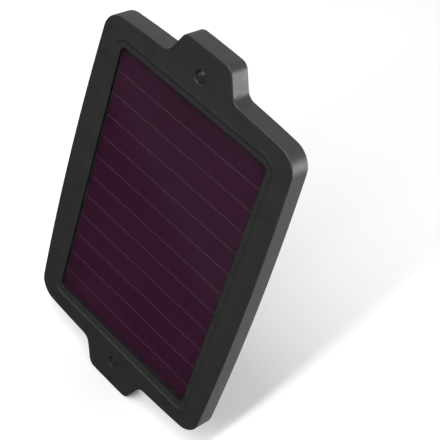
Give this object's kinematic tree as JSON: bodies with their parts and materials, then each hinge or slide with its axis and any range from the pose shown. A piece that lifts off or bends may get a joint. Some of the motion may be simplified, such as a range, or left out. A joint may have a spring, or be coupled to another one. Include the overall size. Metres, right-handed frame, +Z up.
{
  "type": "solar panel",
  "caption": "Small framed thin-film solar panel: striped maroon cells behind glass in a black moulded tray with a bowed outline and a screw tab at each end.",
  "frame": {"origin": "centre of the flat rear face", "axes": "+Z up the panel from the bottom tab to the top tab, +Y straight out of the back, +X across; the cells face -Y"},
  "size_m": [0.1182, 0.0102, 0.199],
  "materials": {
    "black_plastic": "fine-grained matt black moulding",
    "black_rubber": "matt black rubber or silicone",
    "clear_glass": "clear, polished",
    "cell_film": "dark maroon amorphous silicon film",
    "grey_sheet": "matt dark grey film",
    "grey_foam": "matt foam",
    "tinned_copper": "satin tin over copper",
    "board_laminate": "green solder mask",
    "brass": "satin",
    "black_epoxy": "semi-gloss",
    "screw_steel": "zinc plated",
    "label_paper": "blank silver-grey film"
  },
  "bodies": {
    "root": {"front_frame": "black_plastic", "rear_cover": "black_plastic", "cover_gasket": "black_rubber", "glass_plate": "clear_glass", "glass_sealant": "black_rubber", "backing_sheet": "grey_sheet", "bus_ribbon_positive": "tinned_copper", "bus_ribbon_negative": "tinned_copper", "lead_ribbon_positive": "tinned_copper", "lead_ribbon_negative": "tinned_copper", "junction_board": "board_laminate", "board_tape": "grey_foam", "solder_pad_positive": "brass", "solder_pad_negative": "brass", "blocking_diode": "black_epoxy", "foam_strip_left": "grey_foam", "foam_strip_right": "grey_foam", "cable_grommet": "black_rubber", "rating_label": "label_paper", "cell_strip_01": "cell_film", "cell_strip_02": "cell_film", "cell_strip_03": "cell_film", "cell_strip_04": "cell_film", "cell_strip_05": "cell_film", "cell_strip_06": "cell_film", "cell_strip_07": "cell_film", "cell_strip_08": "cell_film", "cell_strip_09": "cell_film", "cell_strip_10": "cell_film", "cell_strip_11": "cell_film", "cell_strip_12": "cell_film", "cover_screw_1": "screw_steel", "cover_screw_2": "screw_steel", "cover_screw_3": "screw_steel", "cover_screw_4": "screw_steel", "cover_screw_5": "screw_steel", "cover_screw_6": "screw_steel", "cover_screw_7": "screw_steel", "cover_screw_8": "screw_steel"}
  },
  "joints": []
}
